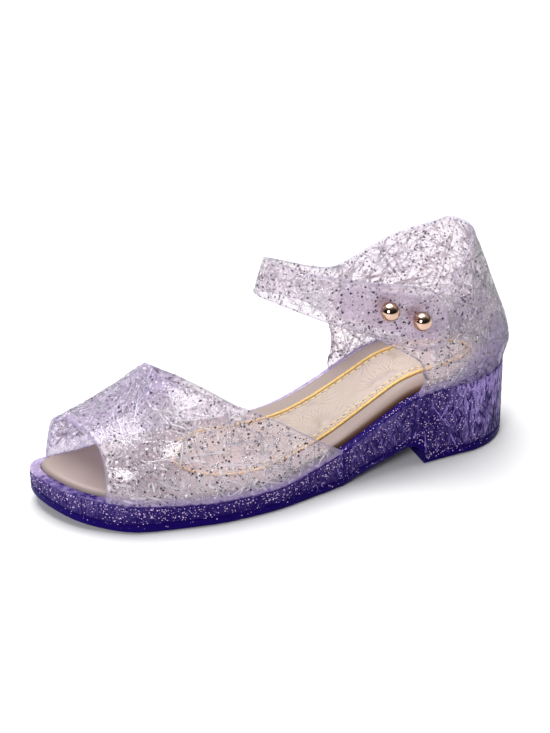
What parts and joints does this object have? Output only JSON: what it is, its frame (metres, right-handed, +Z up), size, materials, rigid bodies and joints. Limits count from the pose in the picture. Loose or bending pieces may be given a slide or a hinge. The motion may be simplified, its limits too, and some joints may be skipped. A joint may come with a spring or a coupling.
{
  "type": "jelly sandal",
  "caption": "Child's clear moulded jelly sandal with a low block heel, open toe, high counter, padded footbed, and an ankle strap that two ball studs hold.",
  "frame": {"origin": "on the floor under the middle of the heel", "axes": "+X from heel to toe, +Y to the outer side of the foot, +Z up"},
  "size_m": [0.1891, 0.064, 0.0846],
  "materials": {
    "sole_jelly": "translucent deep violet moulded plastic with glitter",
    "upper_jelly": "clear lilac moulded plastic with raised strands and glitter",
    "footbed_skin": "smooth soft synthetic skin",
    "panel_print": "smooth cream skin with a leaf print",
    "gold_trim": "satin gold piping",
    "stud_metal": "polished rose gold plating"
  },
  "bodies": {
    "root": {"outsole": "sole_jelly", "upper": "upper_jelly", "footbed": "footbed_skin", "footbed_panel": "panel_print", "panel_piping": "gold_trim", "stud_front": "stud_metal", "stud_rear": "stud_metal"}
  },
  "joints": []
}
